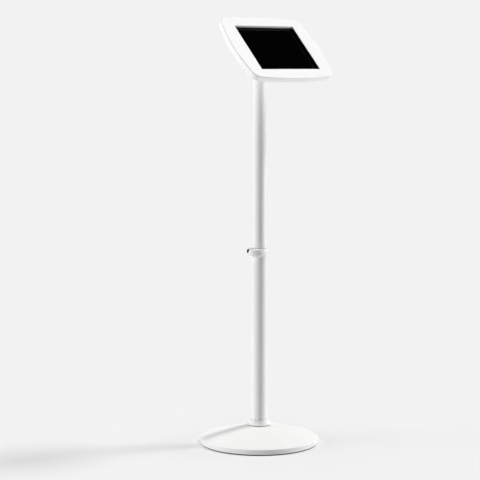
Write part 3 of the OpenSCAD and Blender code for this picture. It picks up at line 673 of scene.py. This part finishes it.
def socket_screw(head_r, head_h, shank_r, shank_long, key, pitch, around, knurls=0):
    """Rows from the tip up: a round shank with a helical thread, a round head with an eased edge, and
    a hexagon r = key / 2 / cos((t + 30) mod 60 - 30), in degrees, down to the socket's floor. The thread
    lies below the shank by a triangle wave of z / pitch - t / turn. The seat is z = 0 and the head
    points up. A grub screw is one whose head is no wider than its shank."""
    headed = head_r > shank_r
    t = turns_round(around)
    sixth = TURN / 6
    hexagon = key / 2 / np.cos((t + sixth / 2) % sixth - sixth / 2)
    thread_z = np.arange(-shank_long + TIP_EASE, -THREAD_STOP, pitch / THREAD_STEPS)
    wave = np.abs((thread_z[:, None] / pitch - t / TURN) % 1 - 0.5) * 2
    fade = np.clip(np.minimum(thread_z + shank_long - TIP_EASE, -thread_z) / pitch, 0, 1)[:, None]
    thread = shank_r - THREAD_DEEP * pitch * wave * fade
    side = head_r - KNURL_DEEP * (1 + np.cos(knurls * t)) / 2 if knurls else head_r
    floor = head_h - head_h * (SOCKET_DEEP if headed else GRUB_SOCKET_DEEP)
    rows = [(TIP_FLAT * shank_r, -shank_long), (shank_r - TIP_EASE, -shank_long), *zip(thread, thread_z)]
    if headed:
        rows += [(shank_r, 0.0), (head_r - HEAD_FOOT_EASE, 0.0), (side, HEAD_FOOT_EASE)]
    rows += [(side - inset, head_h - drop) for inset, drop in eased(HEAD_EASE, SMALL_EASE_STEPS)]
    rows += [(key / math.sqrt(3) + SOCKET_MOUTH, head_h), (hexagon, head_h - SOCKET_EASE), (hexagon, floor),
             (hexagon * SOCKET_POINT, floor - SOCKET_POINT_DEEP)]
    radii = np.stack([np.broadcast_to(radius, t.shape) for radius, _ in rows])
    heights = np.array([[height] for _, height in rows])
    return turned(radii, heights, t)


def screws():
    """The stand's socket screws and grub screws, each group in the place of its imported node."""
    clamp = socket_screw(SCREW_HEAD_R, SCREW_HEAD_H, SCREW_R, HEAD_SEAT - PAD_END, SCREW_KEY, SCREW_PITCH,
                         CLAMP_SCREW_AROUND, SCREW_KNURLS)
    finished(piece_of("clamp_screw_turned", skin(outward(raised(clamp, HEAD_SEAT), BOSS_TURN, BOSS_Z))),
             "clamp_screw", "black_screw")
    for node, turns, height, long in (("trim_grubs", TRIM_GRUB_TURNS, TRIM_GRUB_Z, TRIM_GRUB_LONG),
                                      ("collar_grubs", COLLAR_GRUB_TURNS, COLLAR_GRUB_Z, COLLAR_GRUB_LONG)):
        shank = long - GRUB_TOP
        grub = socket_screw(GRUB_R, GRUB_TOP, GRUB_R, shank, GRUB_KEY, GRUB_PITCH, GRUB_AROUND)
        grub = raised(grub, LOWER_R + SCREW_SLIP + shank)
        finished(piece_of(node + "_turned", *[skin(outward(grub, turn, height)) for turn in turns]),
                 node, "black_screw")
    case = socket_screw(CASE_HEAD_R, CASE_HEAD_H, CASE_SCREW_R, CASE_SCREW_END - CASE_HEAD_Z, CASE_SCREW_KEY,
                        CASE_SCREW_PITCH, CASE_SCREW_AROUND, CASE_SCREW_KNURLS)
    case = flipped(case, CASE_HEAD_Z)
    finished(piece_of("case_screws_turned", *[skin(on_face(case + [x, y, 0.0])) for x, y in CASE_SCREW_AT]),
             "case_screws", "black_screw")


# Case

def case_outline(inset):
    """Right, top, left and bottom as bowed arcs, with corner arcs tangent to both neighbours,
    set in by a distance."""
    half_w, half_h = HALF_W - inset, HALF_H - inset
    corner = CORNER_R + CORNER_GROWTH * inset
    side = np.array([half_w - SIDE_BOW_R, 0.0])
    top = np.array([0.0, half_h - TOP_BOW_R])
    side_r, top_r = SIDE_BOW_R - corner, TOP_BOW_R - corner
    gap = top - side
    reach = np.linalg.norm(gap)
    along = gap / reach
    # The corner's centre lies a corner radius inside both bows: where two smaller circles cross
    m = (side_r * side_r - top_r * top_r + reach * reach) / (2 * reach)
    at = side + m * along + math.sqrt(side_r * side_r - m * m) * np.array([-along[1], along[0]])
    side_end = math.atan2(at[1] - side[1], at[0] - side[0])
    top_start = math.atan2(at[1] - top[1], at[0] - top[0])
    half_turn = np.concatenate([
        arc(side, SIDE_BOW_R, -side_end, side_end, SIDE_STEPS),
        arc(at, corner, side_end, top_start, CORNER_STEPS)[1:-1],
        arc(top, TOP_BOW_R, top_start, math.pi - top_start, TOP_STEPS),
        arc((-at[0], at[1]), corner, math.pi - top_start, math.pi - side_end, CORNER_STEPS)[1:-1]])
    return np.concatenate([half_turn, -half_turn])


def window_outline(grow, corner):
    """Rectangle of the window grown by a distance, with round corners and as many points
    as the case's outline."""
    w, h = WINDOW_W / 2 + grow, WINDOW_H / 2 + grow
    right = [w, 0.0] + np.linspace(-1, 1, SIDE_STEPS)[:, None] * [0.0, h - corner]
    top = [0.0, h] + np.linspace(1, -1, TOP_STEPS)[:, None] * [w - corner, 0.0]
    half_turn = np.concatenate([
        right, arc((w - corner, h - corner), corner, 0, QUARTER, CORNER_STEPS)[1:-1],
        top, arc((corner - w, h - corner), corner, QUARTER, 2 * QUARTER, CORNER_STEPS)[1:-1]])
    return np.concatenate([half_turn, -half_turn])


def at_depth(outline, depth):
    """Sets an outline at a distance out of the face."""
    return np.concatenate([outline, np.full((len(outline), 1), float(depth))], 1)


def shell_rows(wall, steps):
    """Rows of the shell's form set in by a wall: from the flat back, round a shoulder on a quarter ellipse,
    to where the drafted wall starts."""
    a = np.linspace(QUARTER, 0, steps)
    inset = DRAFT + wall + (SHOULDER - wall) * (1 - np.cos(a))
    depth = SHELL_FRONT - WALL_DEPTH - (SHELL_DEPTH - WALL_DEPTH - wall) * np.sin(a)
    return [at_depth(case_outline(i), d) for i, d in zip(inset, depth)]


def posts_at(places, radius, low, high):
    """Round posts or bores that stand square to the face, from one depth to another."""
    return [skin(on_face(rod(radius, low, high) + [x, y, 0.0])) for x, y in places]


def rear_shell():
    """Outer rows from the back to an eased rim, inner rows back down to the floor, with posts,
    screw pockets and holes."""
    halved = [0.5, 0.5, 1.0]
    outer = shell_rows(0.0, OUTER_SHOULDER_STEPS)
    inner = shell_rows(SHELL_T, INNER_SHOULDER_STEPS)[::-1]
    rim = [at_depth(case_outline(inset), SHELL_FRONT - drop)
           for inset, drop in eased(SHELL_EASE, SHELL_EASE_STEPS)]
    rim.append(at_depth(case_outline(SHELL_T), SHELL_FRONT))
    rows = np.stack([outer[0] * halved, *outer, *rim, *inner, inner[-1] * halved])
    shell = piece_of("rear_shell_skin", skin(on_face(rows)))
    # The posts are trimmed to a form in the middle of the shell's wall, so that they melt into it
    middle = SHELL_T / 2
    form = np.stack([*shell_rows(middle, INNER_SHOULDER_STEPS),
                     at_depth(case_outline(middle), POST_MEET + PAST)])
    outside = SHELL_BACK - PAST
    posts = piece_of("posts", *posts_at(CASE_SCREW_AT, POST_R, outside, POST_MEET))
    joined(posts, "INTERSECT", piece_of("tool", skin(on_face(form))))
    joined(shell, "UNION", posts)
    pockets = posts_at(CASE_SCREW_AT, CASE_HEAD_R + PASS, outside, CASE_HEAD_Z)
    holes = posts_at(CASE_SCREW_AT, CASE_SCREW_R + SCREW_SLIP + PASS, outside, POST_MEET + PAST)
    holes += posts_at(NECK_SCREW_AT, NECK_SCREW_R + PASS, outside, SHELL_FLOOR + PAST)
    holes += posts_at([(0, 0)], CABLE_HOLE_R, outside, SHELL_FLOOR + PAST)
    joined(shell, "DIFFERENCE", piece_of("tool", *pockets))
    joined(shell, "DIFFERENCE", piece_of("tool", *holes))
    finished(shell, "rear_shell", "case_white")


def faceplate():
    """A closed profile carried round the outline: edge, rounded front, front face, eased window,
    back face and lip."""
    back, lip_end = -FACE_T, -FACE_T - LIP_H
    rows = [at_depth(case_outline(0.0), back + SEAM_EASE)]
    rows += [at_depth(case_outline(inset), -drop) for inset, drop in eased(FACE_ROUND, FACE_ROUND_STEPS)]
    rows += [at_depth(window_outline(drop, WINDOW_CORNER), -inset)
             for inset, drop in eased(WINDOW_EASE, SMALL_EASE_STEPS)]
    rows += [at_depth(window_outline(0.0, WINDOW_CORNER), back)]
    rows += [at_depth(case_outline(LIP_IN + LIP_T), depth) for depth in (back, lip_end)]
    rows += [at_depth(case_outline(LIP_IN), depth) for depth in (lip_end, back)]
    rows += [at_depth(case_outline(SEAM_EASE), back)]
    plate = piece_of("faceplate_skin", skin(on_face(np.stack(rows)), ring=True))
    posts = posts_at(CASE_SCREW_AT, POST_R, POST_MEET, back + POST_SUNK)
    inserts = posts_at(CASE_SCREW_AT, INSERT_R, POST_MEET - PAST, INSERT_END)
    joined(plate, "UNION", piece_of("tool", *posts))
    joined(plate, "DIFFERENCE", piece_of("tool", *inserts))
    finished(plate, "faceplate", "face_white")


def window_gasket():
    """Foam strip carried round the window, its sides set back; its inner face is cut back
    where it meets the glass."""
    back, front = GLASS_FRONT, -FACE_T
    section = path_of([(GASKET_W, back, FOAM_EASE), (GASKET_W, front, FOAM_EASE), (0, front, FOAM_EASE),
                       (0, back + FOAM_CUT, FOAM_EASE), (FOAM_CUT, back, 0)], steps=GASKET_STEPS)
    rows = []
    for grow, depth in section:
        line = window_outline(grow, GASKET_CORNER + grow)
        line[:, 0] += GASKET_BACK * np.sign(line[:, 0])
        rows.append(at_depth(line, depth))
    strip = piece_of("window_gasket_strip", skin(on_face(np.stack(rows)), ring=True))
    finished(strip, "window_gasket", "pale_foam")


def neck_plate():
    """Spun plate with an eased rim, a hub with a round fillet and a stub of tube,
    drilled for the neck screws."""
    bore = UPPER_R - UPPER_WALL
    foot = PLATE_BACK - STUB_LONG
    hub = PLATE_BACK - HUB_H
    profile = path_of([(PLATE_HOLE_R, SHELL_BACK, PLATE_EASE), (PLATE_HOLE_R, PLATE_BACK, 0),
                       (bore, PLATE_BACK, 0), (bore, foot, 0), (UPPER_R, foot, STUB_EASE),
                       (UPPER_R, hub, STUB_FILLET), (HUB_R - HUB_SLOPE, hub, HUB_ROUND),
                       (HUB_R, PLATE_BACK, HUB_FILLET), (PLATE_R, PLATE_BACK, PLATE_ROUND),
                       (PLATE_R, SHELL_BACK, PLATE_EASE)])
    plate = piece_of("neck_plate_turned", skin(on_face(spun(profile, TUBE_AROUND)), ring=True))
    holes = posts_at(NECK_SCREW_AT, NECK_SCREW_R, PLATE_BACK + NECK_SCREW_SKIN, SHELL_BACK + PAST)
    joined(plate, "DIFFERENCE", piece_of("tool", *holes))
    finished(plate, "neck_plate", "white_steel")


base_cover()
trim_ring()
lower_tube()
clamp_collar()
upper_tube()
screws()
rear_shell()
faceplate()
window_gasket()
neck_plate()

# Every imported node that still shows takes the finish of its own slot
for node in frame["nodes"].values():
    place = node.material_slots[0]
    place.material = FINISH[place.material.name]

# Camera: turn round the stand, turn aside and downward tilt at which the photograph was taken, then
# its distance and height in metres, and its lens and sensor in millimetres
scene = bpy.context.scene
VIEW_TURN = math.radians(-42.19)
VIEW_YAW = math.radians(0.68)
VIEW_DOWN = math.radians(6.08)
VIEW_FAR = 4.17907
VIEW_HIGH = 0.97379
LENS = 122.96
SENSOR = 36.0
camera = bpy.data.objects.new("camera", bpy.data.cameras.new("camera"))
camera.data.lens = LENS
camera.data.sensor_width = SENSOR
camera.data.sensor_fit = "HORIZONTAL"
camera.location = (VIEW_FAR * math.sin(VIEW_TURN), -VIEW_FAR * math.cos(VIEW_TURN), VIEW_HIGH)
camera.rotation_euler = (QUARTER - VIEW_DOWN, 0, VIEW_TURN + VIEW_YAW)
scene.collection.objects.link(camera)
scene.camera = camera

# Light: a low lamp at each side, the right one smaller for its crisper shadow, one high on the right and one
# overhead. Each has a turn from the camera towards its right, a rise, the level that a white sheet facing it
# shows, and the angle that it fills; angles are in degrees.
LAMPS = (("side_right", 104, 8, 0.50, 12), ("high_right", 104, 58, 0.56, 11),
         ("side_left", -82, 15, 0.72, 30), ("overhead", 0, 88, 0.43, 36))
toward = Vector((math.sin(VIEW_TURN), -math.cos(VIEW_TURN), 0))
right = Vector((math.cos(VIEW_TURN), math.sin(VIEW_TURN), 0))
for name, turn, rise, level, wide in LAMPS:
    turn, rise = math.radians(turn), math.radians(rise)
    level_way = math.cos(turn) * toward + math.sin(turn) * right
    to_lamp = math.cos(rise) * level_way + Vector((0, 0, math.sin(rise)))
    lamp = bpy.data.objects.new(name, bpy.data.lights.new(name, "SUN"))
    lamp.data.energy = level * math.pi
    lamp.data.angle = math.radians(wide)
    lamp.rotation_mode = "QUATERNION"
    lamp.rotation_quaternion = to_lamp.to_track_quat("Z", "Y")
    scene.collection.objects.link(lamp)


def looked_along(tree):
    """Light Path's sign of a camera ray, and a sign of a camera, glossy or transmission ray."""
    ray = add(tree, "ShaderNodeLightPath").outputs
    shiny = add(tree, "ShaderNodeMath", {0: ray["Is Glossy Ray"], 1: ray["Is Transmission Ray"]},
                operation="MAXIMUM")
    looked = add(tree, "ShaderNodeMath", {0: ray["Is Camera Ray"], 1: shiny.outputs[0]}, operation="MAXIMUM")
    return ray["Is Camera Ray"], looked.outputs[0]


# World: the pale backdrop for the camera, the same under a dark ceiling for gloss and glass, and no light
# for the rest. The ceiling fades in between two rises of the direction looked in: 0 is level, 1 upright.
BACKDROP = linear("#f2f2f2")
CEILING = linear("#0a0a0a")
CEILING_STARTS, CEILING_FULL = 0.3, 0.65
world = bpy.data.worlds.new("studio")
scene.world = world
world.use_nodes = True
sky = world.node_tree
sky.nodes.clear()
by_camera, looked = looked_along(sky)
direction = add(sky, "ShaderNodeSeparateXYZ", {0: add(sky, "ShaderNodeTexCoord").outputs["Generated"]})
ceiling = add(sky, "ShaderNodeMapRange",
              {"Value": direction.outputs["Z"], "From Min": CEILING_STARTS, "From Max": CEILING_FULL})
room = add(sky, "ShaderNodeMix",
           {MIX_FACTOR: ceiling.outputs["Result"], MIX_FROM: BACKDROP, MIX_TO: CEILING}, data_type="RGBA")
shown = add(sky, "ShaderNodeMix",
            {MIX_FACTOR: by_camera, MIX_FROM: room.outputs[MIX_RESULT], MIX_TO: BACKDROP}, data_type="RGBA")
back = add(sky, "ShaderNodeBackground", {"Color": shown.outputs[MIX_RESULT], "Strength": looked})
add(sky, "ShaderNodeOutputWorld", {"Surface": back.outputs[0]})

# Floor: paper, as pale as makes it throw back a little less than the backdrop's value in this light.
# The camera, gloss and glass see that mixed with a glow that brings it up to the backdrop, so that
# the stand's shadow is as faint as on a lit backdrop.
FLOOR_LIGHT = sum(level * math.sin(math.radians(rise)) for _, _, rise, level, _ in LAMPS)
FLOOR_SHARE = 0.94
FLOOR_WHITE = FLOOR_SHARE * BACKDROP[0] / FLOOR_LIGHT
FLOOR_GLOW = 0.45
GLOW_LEVEL = (1 - (1 - FLOOR_GLOW) * FLOOR_SHARE) / FLOOR_GLOW
FLOOR_REACH = 60.0
corners = [(x * FLOOR_REACH, y * FLOOR_REACH, 0.0) for x, y in ((-1, -1), (1, -1), (1, 1), (-1, 1))]
floor_mesh = bpy.data.meshes.new("floor")
floor_mesh.from_pydata(corners, [], [(0, 1, 2, 3)])
floor = bpy.data.objects.new("floor", floor_mesh)
scene.collection.objects.link(floor)
paper = bpy.data.materials.new("floor_paper")
paper.use_nodes = True
tree = paper.node_tree
tree.nodes.clear()
sheet = add(tree, "ShaderNodeBsdfDiffuse", {"Color": (FLOOR_WHITE, FLOOR_WHITE, FLOOR_WHITE, 1)})
glow = add(tree, "ShaderNodeEmission", {"Color": BACKDROP, "Strength": GLOW_LEVEL})
_, looked = looked_along(tree)
share = add(tree, "ShaderNodeMath", {0: looked, 1: FLOOR_GLOW}, operation="MULTIPLY")
mixed = add(tree, "ShaderNodeMixShader", {0: share.outputs[0], 1: sheet.outputs[0], 2: glow.outputs[0]})
add(tree, "ShaderNodeOutputMaterial", {"Surface": mixed.outputs[0]})
floor.data.materials.append(paper)

scene.view_settings.view_transform = "Standard"
